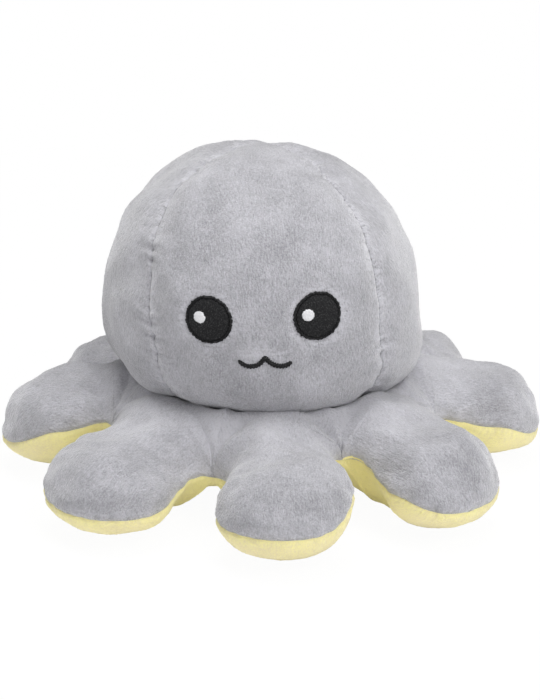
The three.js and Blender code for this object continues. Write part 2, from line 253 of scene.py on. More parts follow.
EYE_PULL = (2.6, 0.4)  # mm, how widely the embroidery pulls the cloth in, and how far
EYE_PRESSED = 0.6  # mm outside an eye's edge, where it presses the pile
PRESSED = (1.7, 0.8)  # how widely and how much
MOUTH_PRESSED = (9.0, 2.0)  # half width and half height
PARTING_WIDTH = 2.6  # of the parted pile along a seam
PARTING_STRENGTH = (0.7, 0.4, 12.0, 1.2)
PARTING_SEED = 3
STITCH_PITCH = 2.6
STITCH_SPOT = 0.5  # half width of the painted shade in the hole at a stitch
STITCH_SPOT_EDGE = (0.2, 0.9)  # where it sets in, on a wave from stitch to stitch
STITCH_STRENGTH = (0.35, 0.3, 14.0, 1.1)
STITCH_SEED = 5
HIGH_STITCHES = 93.0  # the height round which that painted shade is darker
HIGH_DARKER = (15.0, 0.5)
PILE_HEIGHT = 0.055  # unevenness of the pile
PILE_START = 1.2  # mm from a seam, where it is full
HEAD_PILE_SEED = 100
HEAD_STEP = 0.62  # mm between two points of the cloth
OUTLINE_POINTS = 700  # of each half of a round body's outline
COARSE = 6  # rows and columns between the first tries, where a spot on the cloth is looked for
NEWTON_STEPS = 8
LAST_CELL = 1.001  # rows from the end, so that there is a next one
TINY = 1e-9  # keeps a division from 0
WAVES = 24  # in a noise
WAVE_RATES = (0.6, 1.4)  # how many lie in one length
GREY = (0.428, 0.424, 0.455)
GREY_DARKEST = (0.66, 0.66, 0.66)  # the darkest tone, of pile brushed away from the light and of painted shade, as shares of its colour
GREY_PALEST = 1.32
GREY_SHEEN = 0.85
SWAY = (60.0, 0.006)  # of the combed streaks: how many to a metre, and metres aside
PILE_FORMS = {  # how many to a metre, their stretch across and along the cloth, octaves and seed
    "grain": (1900.0, None, 2, 1.0),
    "streak": (1500.0, (1.3, 0.4, 1), 2, 2.0),
    "pinch": (900.0, (0.3, 1, 1), 1, 5.0),
    "patch": (70.0, None, 2, 3.0),
    "tuft": (330.0, None, 1, 4.0),
}
PILE_TONES = {"grain": 1.5, "streak": 1.4, "patch": 1.15, "tuft": 0.25}
PILE_RISES = {"grain": 0.8, "streak": 1.3, "tuft": 0.4}
PARTED_TONE = 0.46  # how pale parted pile is
PINCHED_TONE = 2.6  # and how much its pinches change that
PINCHED_RISE = 2.5
MIDDLE = 0.5  # of a noise, and of the pile's tone
PILE_BUMP = (0.0005, 0.7)  # height in metres, and strength
COLOUR_SOCKETS = (6, 7)  # of a Mix node
MIXED_COLOUR = 2


def wave_noise(points, length, seed):
    """Smooth noise with a spread of 1: a sum of sine waves in all directions, each about a length long."""
    rng = np.random.default_rng(seed)
    waves = rng.normal(size=(WAVES, 3))
    rates = (2 * np.pi / length) * rng.uniform(*WAVE_RATES, (WAVES, 1))
    waves *= rates / np.linalg.norm(waves, axis=1)[:, None]
    starts = rng.uniform(0, 2 * np.pi, WAVES)
    return np.sin(points @ waves.T + starts).sum(axis=-1) * math.sqrt(2 / WAVES)


def uneven(points, strength, seed, more=0):
    """A strength that comes and goes: its mean, plus more in places, plus noise, from 0 to the most."""
    mean, change, length, most = strength
    return (mean + more + change * wave_noise(points, length, seed)).clip(0, most)


def hump(distance, width, height=1.0):
    """A round hill, which falls off over a width as exp(-(d/w)^2)."""
    return height * np.exp(-((distance / width) ** 2))


def smooth_step(value, low, high):
    """0 below low, 1 above high, and 3t^2 - 2t^3 between."""
    share = np.clip((value - low) / (high - low), 0, 1)
    return share * share * (3 - 2 * share)


def normals_of(grid):
    """Unit normals of a grid of points: the cross product of its steps down the rows and across them."""
    down = np.gradient(grid, axis=0)
    across = np.gradient(grid, axis=1)
    normals = np.cross(down, across)
    lengths = np.linalg.norm(normals, axis=-1, keepdims=True)
    return normals / np.maximum(lengths, TINY)


def surface_lengths(grid):
    """How far each point lies along its column and its row, in mm: the running sum of the steps."""
    down = np.linalg.norm(np.diff(grid, axis=0), axis=-1)
    across = np.linalg.norm(np.diff(grid, axis=1), axis=-1)
    along = np.vstack([np.zeros((1, grid.shape[1])), np.cumsum(down, axis=0)])
    sideways = np.hstack([np.zeros((grid.shape[0], 1)), np.cumsum(across, axis=1)])
    return along, sideways - sideways.mean(axis=1, keepdims=True)


def cloth_object(name, grid, marks=None, pole=False, inside_out=False, flat_edges=False):
    """A mesh of four-sided faces over a grid of points in mm. The first row is one point at a pole. Faces
    along flat edges are shaded flat, so that the cloth beside them is shaded as if it went on."""
    rows, columns, _ = grid.shape
    number = np.arange(rows * columns).reshape(rows, columns)
    used = np.ones(rows * columns, bool)
    if pole:
        used[1:columns] = False
        number = np.maximum(number - (columns - 1), 0)
    corners = np.stack([number[:-1, :-1], number[1:, :-1], number[1:, 1:], number[:-1, 1:]], axis=-1)
    if inside_out:
        corners = corners[..., ::-1]
    faces = [list(dict.fromkeys(face)) for face in corners.reshape(-1, 4).tolist()]
    mesh = bpy.data.meshes.new(name)
    mesh.from_pydata(grid.reshape(-1, 3)[used] * MM, [], faces)
    for mark, values in (marks or {}).items():
        kept = values.reshape(-1)[used].astype(np.float32)
        mesh.attributes.new(mark, "FLOAT", "POINT").data.foreach_set("value", kept)
    along, sideways = surface_lengths(grid)
    spots = np.stack([sideways, along], axis=-1).reshape(-1, 2)[used] * MM
    loops = np.zeros(len(mesh.loops), np.int32)
    mesh.loops.foreach_get("vertex_index", loops)
    mesh.uv_layers.new(name="cloth").data.foreach_set("uv", spots[loops].astype(np.float32).ravel())
    smooth = np.ones((rows - 1, columns - 1), bool)
    smooth[:, [0, -1]] = not flat_edges
    mesh.polygons.foreach_set("use_smooth", smooth.ravel())
    return new_object(name, mesh)


def tucked(grid, normals, depth, **marks):
    """The grid with a column more at each side and a row more at the end, folded under it by a depth. Its
    marks, which are fields over it, go on there."""
    inward = grid - normals * depth
    grid = np.concatenate([inward[:, :1], grid, inward[:, -1:]], axis=1)
    inward = np.concatenate([inward[:, :1], inward, inward[:, -1:]], axis=1)
    marks = {mark: np.pad(values, ((0, 1), (1, 1)), mode="edge") for mark, values in marks.items()}
    return np.concatenate([grid, inward[-1:]], axis=0), marks


def mixed_colour(tree, share, first, second):
    """A colour between two: the first where the share is 0, and the second where it is 1."""
    sockets = dict(zip(COLOUR_SOCKETS, (first + (1,), second + (1,))))
    mixed = add_node(tree, "ShaderNodeMix", {"data_type": "RGBA"}, {"Factor": share, **sockets})
    return mixed.outputs[MIXED_COLOUR]


def cloth_shader(tree, output, values, height, bump):
    """The surface of cloth or thread, with a fine relief of a height."""
    relief = {"Height": height, "Distance": bump[0], "Strength": bump[1]}
    normal = add_node(tree, "ShaderNodeBump", None, relief).outputs[0]
    surface = add_node(tree, "ShaderNodeBsdfPrincipled", None, {**values, "Normal": normal})
    tree.links.new(surface.outputs[0], output.inputs["Surface"])


def velour(name, colour, darkest, palest, sheen):
    """Short velour: fine grain, combed streaks, brushed patches, pale pinched pile along the seams, and
    painted shade and light.
    """
    tree, output = new_material(name)
    place = add_node(tree, "ShaderNodeTexCoord")
    spot = place.outputs["Object"]
    sway = add_node(tree, "ShaderNodeTexNoise", None, {"Vector": spot, "Scale": SWAY[0], "Detail": 1})
    sockets = {0: sway.outputs["Color"], "Scale": SWAY[1]}
    aside = add_node(tree, "ShaderNodeVectorMath", {"operation": "SCALE"}, sockets)
    sockets = {0: place.outputs["UV"], 1: aside.outputs[0]}
    warped = add_node(tree, "ShaderNodeVectorMath", {"operation": "ADD"}, sockets)

    def noise(scale, stretch, detail, seed):
        vector = spot
        if stretch:
            sockets = {"Vector": warped.outputs[0], "Scale": stretch}
            vector = add_node(tree, "ShaderNodeMapping", None, sockets).outputs[0]
        sockets = {"Vector": vector, "W": seed, "Scale": scale, "Detail": detail, "Roughness": 0.6}
        made = add_node(tree, "ShaderNodeTexNoise", {"noise_dimensions": "4D"}, sockets)
        return Value(tree, made.outputs["Fac"]) - MIDDLE

    def weighted(weights):
        return sum(forms[form] * weight for form, weight in weights.items())

    def mark(name):
        return Value(tree, add_node(tree, "ShaderNodeAttribute", {"attribute_name": name}).outputs["Fac"])

    forms = {form: noise(*settings) for form, settings in PILE_FORMS.items()}
    parting = mark("parting")
    light = MIDDLE + weighted(PILE_TONES)
    light = light + parting * (PARTED_TONE + forms["pinch"] * PINCHED_TONE)
    # The shade mark paints shade into the colour, and painted light where it is below 0.
    light = (light - mark("shade")).clamped()
    dark = tuple(channel * share for channel, share in zip(colour, darkest))
    bright = tuple(min(1, channel * palest) for channel in colour)
    height = weighted(PILE_RISES) + parting * forms["pinch"] * PINCHED_RISE
    values = {
        "Base Color": mixed_colour(tree, light, dark, bright),
        "Roughness": 0.95,
        "Specular IOR Level": 0.15,
        "Sheen Weight": sheen,
        "Sheen Roughness": 0.5,
    }
    cloth_shader(tree, output, values, height, PILE_BUMP)


def profile_table(radius, waist, rise, drop, crown_fullness, base_fullness, low_radius):
    """A round body's outline from its crown down to a radius: its points, the length up to each, and up
    to the waist. Each half is a quarter of a superellipse, |r/a|^n + |z/b|^n = 1."""
    turn = np.linspace(0, np.pi / 2, OUTLINE_POINTS)
    top = np.stack([np.sin(turn) ** (2 / crown_fullness) * radius,
                    waist + np.cos(turn) ** (2 / crown_fullness) * rise], axis=1)
    last = math.acos((low_radius / radius) ** (base_fullness / 2))
    turn = np.linspace(0, last, OUTLINE_POINTS)[1:]
    base = np.stack([np.cos(turn) ** (2 / base_fullness) * radius,
                     waist - np.sin(turn) ** (2 / base_fullness) * drop], axis=1)
    line = np.vstack([top, base])
    steps = np.linalg.norm(np.diff(line, axis=0), axis=1)
    length = np.concatenate([[0], np.cumsum(steps)])
    return line, length, length[len(top) - 1]


HEAD = profile_table(
    HEAD_RADIUS, WAIST_HEIGHT, CROWN_RISE, BASE_DROP, CROWN_FULLNESS, BASE_FULLNESS, NECK_RADIUS
)
NECK_HEIGHT = HEAD[0][-1, 1]
CROWN_HEIGHT = WAIST_HEIGHT + CROWN_RISE


def lean_at(height):
    return HEAD_LEAN * np.maximum(0, height - NECK_HEIGHT) / (CROWN_HEIGHT - NECK_HEIGHT)


def round_body(turn, latitude, outline, back_tilt=0.0, side_tilt=0.0):
    """Points at a turn from the front and a latitude, 0 at the pole and 1 at the waist. The pole is tilted
    back and aside, less and less down to the waist. The outline gives each point's radius and height."""
    line, length, waist_length = outline
    polar = latitude * np.pi / 2
    share = smooth_step(1 - latitude, 0, 1)
    back = np.radians(back_tilt) * share
    aside = np.radians(side_tilt) * share
    x = np.sin(polar) * np.sin(turn)
    y = -np.sin(polar) * np.cos(turn)
    z = np.cos(polar)
    y, z = y * np.cos(back) + z * np.sin(back), z * np.cos(back) - y * np.sin(back)
    x, z = x * np.cos(aside) + z * np.sin(aside), z * np.cos(aside) - x * np.sin(aside)
    azimuth = np.arctan2(x, -y)
    reach = np.arccos(np.clip(z, -1, 1)) / (np.pi / 2) * waist_length
    radius = np.interp(reach, length, line[:, 0])
    height = np.interp(reach, length, line[:, 1])
    across = radius * np.sin(azimuth) + lean_at(height)
    return np.stack([across, -radius * np.cos(azimuth), height], axis=-1)


def seam_turn(seam, latitude):
    """Where a seam runs, in radians from the front: straight below the waist, a + bt + ct^2 above it."""
    turn, first, last = seam
    above = np.maximum(0, 1 - latitude)
    return np.radians(turn + first * above + last * above**2)


def gore_base(seams, outline, step, *tilts):
    """The smooth round body between two seams, its distance from each of them, and how far down it is."""
    line, length, waist_length = outline
    latitude = np.linspace(0, length[-1] / waist_length, int(length[-1] / step))[:, None]
    share = np.linspace(0, 1, int(line[:, 0].max() * math.pi / 2 / step))[None, :]
    first, last = seam_turn(seams[0], latitude), seam_turn(seams[1], latitude)
    last = last + (2 * np.pi if last[0, 0] < first[0, 0] else 0)
    grid = round_body(first + (last - first) * share, latitude, outline, *tilts)
    down = latitude * waist_length + 0 * share
    width = (last - first) * np.interp(down, length, line[:, 0])
    return grid, share * width, (1 - share) * width, down


def seam_shape(distance, along, seed):
    """Height beside a seam: a wide valley, the sharp line of the stitches, and ripples across it."""
    line = np.stack([along, PUCKER_SLANT * distance, 0 * along], axis=-1)
    ripple = wave_noise(line, PUCKER_LENGTH, seed).clip(-PUCKER_LIMIT, PUCKER_LIMIT)
    ripple = ripple * hump(distance, *PUCKERS) * uneven(line, PUCKER_STRENGTH, PUCKER_SEED + seed)
    return ripple - hump(distance, *SEAM_VALLEY) - hump(distance, *STITCH_LINE)


def dents(grid):
    """Depth of the hollows that the stuffing leaves: round hills of the distance from each middle."""
    depth = np.zeros(grid.shape[:2])
    for turn, height, width, deep in HEAD_DENTS:
        reach = np.interp(height, HEAD[0][::-1, 1], HEAD[0][::-1, 0])
        angle = math.radians(turn)
        middle = np.array([reach * math.sin(angle) + lean_at(height), -reach * math.cos(angle), height])
        depth += hump(np.linalg.norm(grid - middle, axis=-1), width, deep)
    return depth


def pressed_pile(grid):
    """How much the embroidery presses the pile beside it, and how far it pulls the cloth in."""
    across, height = grid[..., 0], grid[..., 2]
    pressed = hump(across - LIP[0], MOUTH_PRESSED[0], PRESSED[1]) * hump(height - LIP[1], MOUTH_PRESSED[1])
    pulled = 0 * pressed
    for middle, level, half_width, half_height in EYES.values():
        share = np.hypot((across - middle) / half_width, (height - level) / half_height)
        away = (share - 1) * half_width
        pressed = pressed + hump(away - EYE_PRESSED, *PRESSED)
        pulled = pulled + hump(away, *EYE_PULL)
    in_front = grid[..., 1] < 0
    return pressed * in_front, pulled * in_front


def head_gore(sides):
    """The shaped cloth of one gore without its pile, with its normals, its distance from the nearest seam,
    how far down it is, and how much its pile parts."""
    seams = [SEAMS[side] for side in sides]
    base, from_left, from_right, along = gore_base(seams, HEAD, HEAD_STEP, *CROWN_TILTS)
    normals = normals_of(base)
    normals[0] = normals[2].mean(axis=0) / np.linalg.norm(normals[2].mean(axis=0))
    seeds = [list(SEAMS).index(side) for side in sides]
    nearest = np.minimum(from_left, from_right)
    out = PUFF * (1 - hump(nearest, 2 * SEAM_VALLEY[0]))
    out = out + seam_shape(from_left, along, seeds[0]) + seam_shape(from_right, along, seeds[1])
    out = out * smooth_step(along, *POLE_CALM) - hump(along, *DIMPLE)
    for number, (height, length) in enumerate(LUMPS):
        out = out + height * wave_noise(base, length, LUMP_SEED + number)
    pressed, pulled = pressed_pile(base)
    out = out - dents(base) - pulled
    line = np.stack([along, from_left, 0 * along], axis=-1)
    parting = hump(nearest, PARTING_WIDTH) * uneven(line, PARTING_STRENGTH, PARTING_SEED)
    return base + normals * out[..., None], normals, nearest, along, parting + pressed


def on_cloth(grid, across, height):
    """Points and normals of a grid, seen from the front at a width and height: the nearest of a few points,
    then Newton's steps on its rows and columns."""
    coarse = grid[::COARSE, ::COARSE]
    aside = coarse[None, ..., 0] - across.reshape(-1, 1, 1)
    above = coarse[None, ..., 2] - height.reshape(-1, 1, 1)
    best = (aside**2 + above**2).reshape(across.size, -1).argmin(axis=1)
    row = COARSE * (best // coarse.shape[1]).astype(float)
    column = COARSE * (best % coarse.shape[1]).astype(float)
    for _ in range(NEWTON_STEPS):
        spot, by_row, by_column = sampled(grid, row, column)
        wanted = np.stack([across.ravel() - spot[:, 0], height.ravel() - spot[:, 2]], axis=1)
        area = by_row[:, 0] * by_column[:, 2] - by_row[:, 2] * by_column[:, 0]
        row = row + (wanted[:, 0] * by_column[:, 2] - wanted[:, 1] * by_column[:, 0]) / area
        column = column + (wanted[:, 1] * by_row[:, 0] - wanted[:, 0] * by_row[:, 2]) / area
    spot, by_row, by_column = sampled(grid, row, column)
    normal = np.cross(by_row, by_column)
    normal /= np.linalg.norm(normal, axis=1, keepdims=True)
    return spot.reshape(*across.shape, 3), normal.reshape(*across.shape, 3)


def sampled(grid, row, column):
    """Points between the rows and columns of a grid, and their steps along each, from four corners."""
    row = np.clip(row, 0, grid.shape[0] - LAST_CELL)
    column = np.clip(column, 0, grid.shape[1] - LAST_CELL)
    i = row.astype(int)
    j = column.astype(int)
    u = (row - i)[:, None]
    v = (column - j)[:, None]
    a, b, c, d = grid[i, j], grid[i, j + 1], grid[i + 1, j], grid[i + 1, j + 1]
    spot = (a * (1 - v) + b * v) * (1 - u) + (c * (1 - v) + d * v) * u
    return spot, (c - a) * (1 - v) + (d - b) * v, (b - a) * (1 - u) + (d - c) * u


def on_body(made, slot, *hidden):
    """Gives a piece the material of its slot, and fixes it to the body in place of the solids it hides."""
    made.data.materials.append(materials[slot])
    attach(made, "root")
    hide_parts(*hidden)


velour("grey_velour", GREY, GREY_DARKEST, GREY_PALEST, GREY_SHEEN)
for number, (name, sides) in enumerate(GORES.items()):
    cloth, normals, nearest, along, parting = head_gore(sides)
    if name == "front":
        face_cloth = cloth
    rng = np.random.default_rng(HEAD_PILE_SEED + number)
    pile = rng.normal(0, PILE_HEIGHT, cloth.shape[:2]) * smooth_step(nearest, 0, PILE_START)
    # Painted shade in the stitch holes along the seams, darker round one height near the top.
    wave = np.cos(2 * np.pi * along / STITCH_PITCH)
    stitches = hump(nearest, STITCH_SPOT) * smooth_step(wave, *STITCH_SPOT_EDGE)
    darker = hump(cloth[..., 2] - HIGH_STITCHES, *HIGH_DARKER)
    shade = stitches * uneven(cloth, STITCH_STRENGTH, STITCH_SEED, darker)
    skin = cloth + normals * pile[..., None]
    skin, marks = tucked(skin, normals, SEAM_ALLOWANCE, parting=parting, shade=shade)
    gore = cloth_object("head_gore_" + name, skin, marks, pole=True)
    hidden = ["head_panel_" + name] + (["head_filling"] if name == "front" else [])
    on_body(gore, "grey_velour", *hidden)

# The face: black satin stitch worked through the front gore, with a raised rim round each eye
# and a white glint in it. The mouth is one line of short stitches, like a flat w.
GLINTS = {"left": (-23.5, 72.8, 2.15), "right": (12.0, 74.1, 2.2)}  # across, height and radius, mm
RIM_PLACE = 0.945  # share of the eye's radius
RIM_WIDTH = 0.055
RIM_HEIGHT = 0.72  # mm above the cloth
FILL_HEIGHT = 0.62
FILL_EDGE = (0.835, 0.875)  # shares of the eye's radius, where the fill slopes down
EDGE_HEIGHT = 0.12
GLINT_HEIGHT = 0.95
DISC_TUCK = 0.6  # how deep a disc's edge goes under the cloth
STITCH_WIDTH = 0.5  # mm, of one thread
STITCH_RELIEF = 0.06
STITCH_RELIEF_START = (0.82, 0.92)  # shares of the radius
THREAD_LUMPS = (0.035, 0.9)  # height and length, mm
EDGE_RAGGEDNESS = 0.102  # mm, at the edge of an eye
RAGGED_LENGTH = 1.0
EYE_SEED = 20
GLINT_SEED = 30
MOUTH_POINTS = {
    "left": [(-10.9, 59.0), (-9.2, 57.6), (-6.4, 56.9), (-3.9, 58.2), (-2.1, 60.9)],
    "right": [(-2.1, 60.9), (-0.2, 58.3), (2.4, 57.2), (4.9, 57.5), (6.7, 58.9)],
}
MOUTH_WIDTH = 1.7
MOUTH_HEIGHT = 0.85  # mm from the line's sides to its top
MOUTH_SINK = 0.2  # how far its sides go into the cloth
MOUTH_RIDGES = (0.16, 0.07)  # how much wider, as a share, and higher, in mm, it is at a stitch
MOUTH_PITCH = 0.95  # mm from one stitch to the next
MOUTH_GRID = (170, 15)  # points along the line and across it
BLUNTNESS = 10  # of a line's ends
THINNEST = 1e-3
BLACK = (0.006, 0.006, 0.007)
BLACK_SPECK = 0.034  # how much paler a strand is that catches the light
WHITE = (0.76, 0.76, 0.78)
WHITE_SPECK = 0.12
STRANDS = 2400.0  # to a metre
SPECKS = (0.52, 5.0)  # the level of a strand that catches the light, and how sharply it does
THREAD_BUMP = (0.0003, 0.6)


def thread(name, colour, speck):
    """Embroidery thread: a soft gloss along the strands, and specks where the strands catch the light."""
    tree, output = new_material(name)
    place = add_node(tree, "ShaderNodeTexCoord")
    sockets = {"Vector": place.outputs["Object"], "Scale": STRANDS, "Detail": 1, "Roughness": 0.5}
    fine = Value(tree, add_node(tree, "ShaderNodeTexNoise", None, sockets).outputs["Fac"])
    light = ((fine - SPECKS[0]) * SPECKS[1]).clamped()
    bright = tuple(channel + speck for channel in colour)
    values = {
        "Base Color": mixed_colour(tree, light, colour, bright),
        "Roughness": 0.65,
        "Specular IOR Level": 0.2,
        "Sheen Weight": 0.02,
    }
    cloth_shader(tree, output, values, fine, THREAD_BUMP)


def stitched_disc(name, cloth, middle, sizes, profile, seed, sides=260, rings=60, inside_out=False):
    """A satin-stitched disc on the cloth. Its rings shrink to the middle, its height is a profile of the
    share of the radius, and its edge carries one ridge for each thread and goes under the cloth."""
    share = np.append(np.linspace(0, 1, rings), 1.0)[:, None]
    angle = np.linspace(0, 2 * np.pi, sides + 1)[None, :]
    around = np.stack([np.cos(angle[0]), np.sin(angle[0]), 0 * angle[0]], axis=-1) * sizes[0]
    count = round(2 * math.pi * sizes[0] / STITCH_WIDTH)
    ragged = wave_noise(around, RAGGED_LENGTH, seed) + np.cos(count * angle[0])
    ragged = ragged * EDGE_RAGGEDNESS * sizes[0] / EYES["left"][2]
    across = middle[0] + (sizes[0] + ragged) * share * np.cos(angle)
    height = middle[1] + (sizes[1] + ragged) * share * np.sin(angle)
    spots, normals = on_cloth(cloth, across, height)
    rise = profile(share) + STITCH_RELIEF * np.cos(count * angle) * smooth_step(share, *STITCH_RELIEF_START)
    rise = rise + THREAD_LUMPS[0] * wave_noise(spots, THREAD_LUMPS[1], seed + 1) * (share < 1)
    rise[-1] = -DISC_TUCK
    return cloth_object(name, spots + normals * rise[..., None], pole=True, inside_out=inside_out)


def eye_profile(share):
    """A flat fill, a narrow groove, and a round rim at the edge."""
    rim = np.sqrt(np.clip(1 - ((share - RIM_PLACE) / RIM_WIDTH) ** 2, 0, 1)) * (RIM_HEIGHT - EDGE_HEIGHT)
    fill = (1 - smooth_step(share, *FILL_EDGE)) * (FILL_HEIGHT - EDGE_HEIGHT)
    return EDGE_HEIGHT + rim + fill


def glint_profile(share):
    """A flat top with a round edge: the square root of 1 - share^4."""
    return EDGE_HEIGHT + (GLINT_HEIGHT - EDGE_HEIGHT) * np.sqrt(np.clip(1 - share**4, 0, 1))


def stitched_line(cloth, points, width):
    """A line of satin stitch through a few points, by a cubic of the share of the way. It is half a circle
    across, with one ridge along it for each thread."""
    points = np.array(points)
    steps = np.linalg.norm(np.diff(points, axis=0), axis=1)
    share = np.concatenate([[0], np.cumsum(steps)]) / steps.sum()
    along = np.linspace(0, 1, MOUTH_GRID[0])
    line = np.stack([np.polyval(np.polyfit(share, places, deg=3), along) for places in points.T], axis=1)
    step = np.gradient(line, axis=0)
    side = np.stack([-step[:, 1], step[:, 0]], axis=1) / np.linalg.norm(step, axis=1)[:, None]
    ends = np.sqrt(np.clip(1 - (2 * along - 1) ** BLUNTNESS, 0, 1))
    length = np.linalg.norm(np.diff(line, axis=0), axis=1).sum()
    ridges = np.cos(2 * np.pi * along * length / MOUTH_PITCH)
    half = width / 2 * ends * (1 + MOUTH_RIDGES[0] * ridges) + THINNEST
    turn = np.linspace(0, np.pi, MOUTH_GRID[1])[None, :]
    across = line[:, :1] + side[:, :1] * half[:, None] * np.cos(turn)
    height = line[:, 1:] + side[:, 1:] * half[:, None] * np.cos(turn)
    spots, normals = on_cloth(cloth, across, height)
    top = MOUTH_HEIGHT + MOUTH_RIDGES[1] * ridges[:, None]
    rise = top * np.sin(turn) * ends[:, None] - MOUTH_SINK
    return spots + normals * rise[..., None]


thread("black_thread", BLACK, BLACK_SPECK)
thread("white_thread", WHITE, WHITE_SPECK)
for number, (side, (across, height, *sizes)) in enumerate(EYES.items()):
    eye = stitched_disc("stitched_eye_" + side, face_cloth, (across, height), sizes, eye_profile,
                        EYE_SEED + number)
    on_body(eye, "black_thread", "eye_" + side)
    across, height, radius = GLINTS[side]
    glint = stitched_disc("stitched_glint_" + side, face_cloth, (across, height), (radius, radius),
                          glint_profile, GLINT_SEED + number, sides=96, rings=16)
    on_body(glint, "white_thread", "eye_highlight_" + side)
for side, points in MOUTH_POINTS.items():
    line = stitched_line(face_cloth, points, MOUTH_WIDTH)
    mouth = cloth_object("stitched_mouth_" + side, line, inside_out=True)
    on_body(mouth, "black_thread", "mouth")

# The skirt and its eight arms, upper side: one sheet of grey velour, cut like a daisy and stuffed.
# It starts at the neck under the head, rises over a shoulder, and each arm ends in a round tip.
SHOULDER = [  # mm from the middle, and height
    (34.0, 30.9), (37.0, 31.7), (40.0, 33.1), (43.0, 35.0), (45.5, 36.7), (47.5, 38.0),
    (50.0, 38.7), (54.0, 38.0), (58.0, 36.7), (64.0, 35.2), (70.0, 34.2), (80.0, 33.4),
]
# Of each arm: degrees from the front, its reach, the half width and the length of its round end, and the
# height of its edge seam on the left, on the right and at the tip.
ARMS = [
    (3.0, 101.1, 22.7, 18.5, 14.5, 22.4, 14.4),
    (44.5, 99.9, 22.7, 19.5, 18.0, 18.0, 12.6),
    (95.5, 99.5, 22.9, 20.0, 18.2, 16.0, 11.2),
    (137.8, 103.2, 23.2, 22.0, 17.0, 17.0, 13.0),
    (182.9, 100.0, 23.2, 22.0, 17.0, 17.0, 13.0),
    (229.2, 100.6, 23.0, 22.0, 17.0, 17.0, 13.0),
    (271.6, 98.9, 22.9, 23.5, 17.0, 20.4, 12.2),
    (317.8, 101.7, 23.8, 20.0, 18.0, 12.6, 12.4),
]
# The cut after each arm: degrees, distance from the middle, radius, height of its seam, and how little the
# underside bellies out beside it.
WEBS = [
    (23.2, 60.0, 5.6, 22.8, 2.2),
    (70.0, 62.0, 5.0, 22.3, 1.1),
    *[(turn, 62.0, 5.0, 19.5, 0.6) for turn in (116.4, 160.4, 206.0, 250.2)],
    (294.9, 62.0, 5.0, 23.3, 1.0),
    (341.6, 62.5, 7.8, 18.2, 0.8),
]
TOP_CLOTH = {
    "line": SHOULDER,  # its middle line
    "up": 1,  # or -1, the side that is out
    "step": 0.55,  # mm between two points
    "rises": [0.0, 0.8, 0.0, -4.8, 0.0, -5.2, 0.6, -2.8],  # of each arm
    "valley": 7.0,  # how far in from a web its valley runs
    "valley_start": (46.0, 57.0),  # mm out, where it sets in
    "ease": 14.0,  # how slowly it starts at an arm's middle
    "fullness": 1.1,  # of the edges: 1 is an ellipse, more is slimmer
    "tightness": 0.0,  # share of the webs' own values for that
    "round_to": 52.0,  # mm out, where the rows stop being rings
    "lumps": 1.0,
    "painted_shades": (-0.3, 0.11),  # painted light near the middle, in the head's shadow, and painted shade far out
    "painted_shade_reach": (56.0, 80.0),
    # width and strength of a painted shadow along the edge seam, under the edge of the grey pile
    "painted_edge_shadow": (1.0, 0.3),
}
STATION_LENGTH = 24.0  # mm before a web and after it, which sets the number of rows
STATION_BIAS = 1.5  # above 1, rows lie closer near the web
HALF_WIDTH = 31.0  # mm, which sets the number of columns
TIP_LENGTH = 37.0
SWELL_START = 2.0  # mm before the cut's end, where an arm starts to swell
BESIDE_SHARPNESS = 6  # how soon an arm leaves the web's height, across, and in mm along
BESIDE_REACH = 3.0
SEAM_CHANGE = 58.0  # mm out, where the edge seam leaves it
TIGHT_CHANGE = 60.0  # where the edge fills out
RISE_CHANGE = (50.0, 66.0)  # where an arm's own height sets in
FAR = 99.0  # mm, of points that have no neighbour
KEEL = 3.0  # how blunt the keel between two valleys is
PILLOW_REACH = 2.5  # mm behind a web over which an arm's round edge dies out
EDGE_NOTCH = (0.9, 0.6)  # width and depth of the edge seam
EDGE_PARTING = (2.5, 0.7)  # how widely and how much its pile parts
EDGE_RIPPLES = (6.0, 0.13)  # how far they reach, and their height
EDGE_RIPPLE_LENGTH = 5.5
EDGE_RIPPLE_SEED = 61
EDGE_ALLOWANCE = 0.9
FOLD = (1.7, 0.5)  # width and depth of the two creases that run in from each web
FOLD_DEPTHS = (0.6, 1.2)  # shares of that depth
FOLD_START = 2.0  # mm behind the web
FOLD_RISE = (0.0, 4.0)  # mm on, where one sets in and dies out
FOLD_FALL = (7.0, 15.0)
FOLD_SPREAD = 15.0  # degrees to each side of the web
FOLD_SPREADS = (0.6, 1.3)  # shares of it
FOLD_SEED = 7
ARM_LUMPS = [(0.55, 24.0), (0.25, 10.0)]
ARM_LUMP_START = 6.0  # mm from the edge seam, where they are full
ARM_LUMP_SEED = 51
ARM_PILE_START = (0.2, 1.4)
ARM_PILE_SEED = 200
FREE_START = 3.0  # mm from the neighbours, where the relief is full
CORNER = 4  # rows and columns at a tip's corners, which are squeezed


def side_stations(half_angle, web, inner, count, line_end, end_radius):
    """One side of a sector, station by station from the neck out: how far out, how wide, how far inside the
    web, how far beyond it, and how far from the middle. The border runs straight to the web, where a round
    cut of radius p starts: y = s - sqrt(p^2 - (c - x)^2). Beyond it the arm swells to its end."""
    _, reach, rounding, _, _ = web
    share = np.linspace(0, 1, count)
    border = reach - (reach - inner) * (1 - share) ** STATION_BIAS
    web_out = reach * math.cos(half_angle)
    cut_out = (reach + rounding) * math.cos(half_angle)
    cut_side = (reach + rounding) * math.sin(half_angle)
    share = np.linspace(0, 1, count + 1)[1:]
    past = web_out + (line_end - web_out) * share**STATION_BIAS
    cut = cut_side - np.sqrt(rounding**2 - np.clip(cut_out - past, 0, rounding) ** 2)
    swell = (end_radius - cut_side + rounding) * smooth_step(past, cut_out - SWELL_START, line_end)
    none = 0 * past
    straight = [border * math.cos(half_angle), border * math.sin(half_angle), reach - border]
    straight += [0 * border, border]
    swelling = [past, cut + swell, none, past - web_out, none + reach]
    return [np.concatenate(pair) for pair in zip(straight, swelling)]


